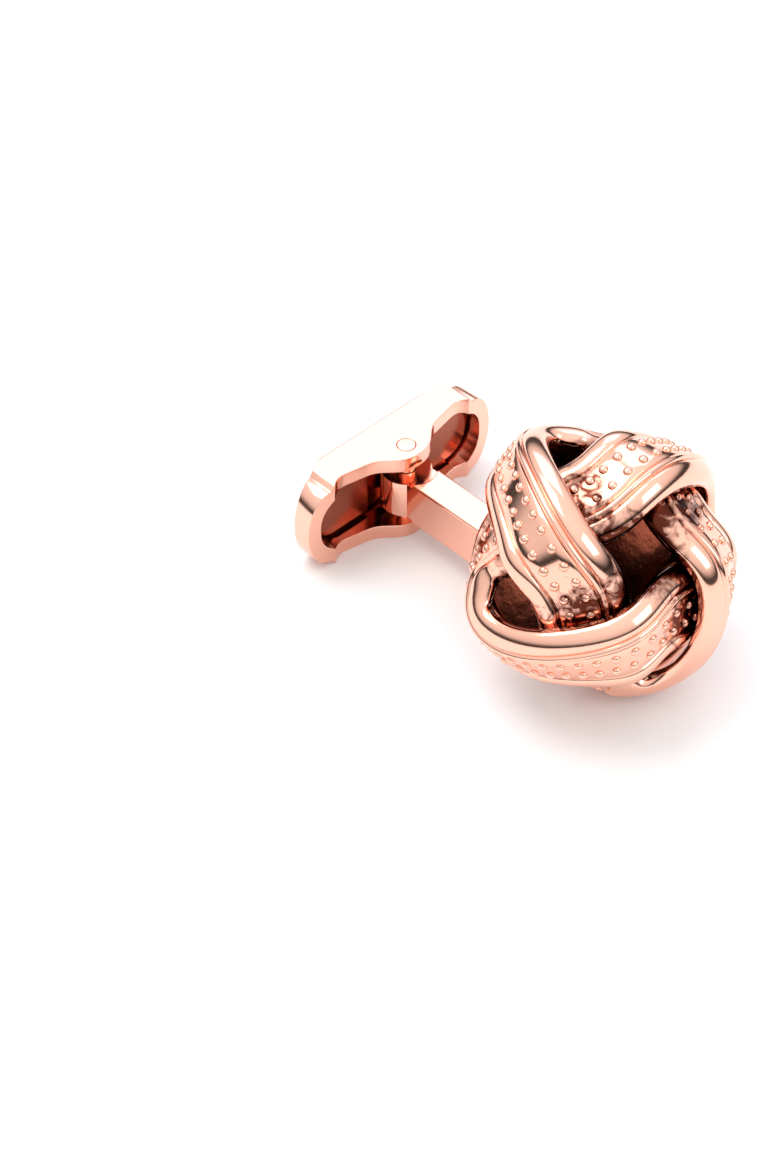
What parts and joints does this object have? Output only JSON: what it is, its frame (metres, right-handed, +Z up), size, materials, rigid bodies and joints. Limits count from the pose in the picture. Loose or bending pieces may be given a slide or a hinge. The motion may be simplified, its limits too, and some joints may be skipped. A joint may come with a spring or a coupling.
{
  "type": "knot cufflink",
  "caption": "Woven ball knot of beaded bands on a curved post, with a bar toggle that swivels on a pin to lock behind a shirt cuff.",
  "frame": {"origin": "under the middle of the bounding box, on the surface the cufflink lies on", "axes": "+X along the post from the toggle to the ball knot, +Z up, the toggle's pin along Z"},
  "size_m": [0.0242, 0.0152, 0.0135],
  "materials": {
    "rose_gold": "rose-gold plate, mirror polished",
    "toggle_rose_gold": "rose-gold plate, polished",
    "pin_rose_gold": "rose-gold plate, polished flush with the toggle"
  },
  "bodies": {
    "knot": {"knot_with_post": "rose_gold"},
    "toggle": {"toggle_frame": "toggle_rose_gold", "toggle_insert": "toggle_rose_gold", "pivot_pin": "pin_rose_gold"}
  },
  "joints": [
    {"name": "toggle_swivel", "type": "hinge", "parent": "knot", "child": "toggle", "pos_m": [-0.00919, 0.00003, 0.0028], "axis": [0, 0, 1], "range_deg": [-82, 82]}
  ]
}
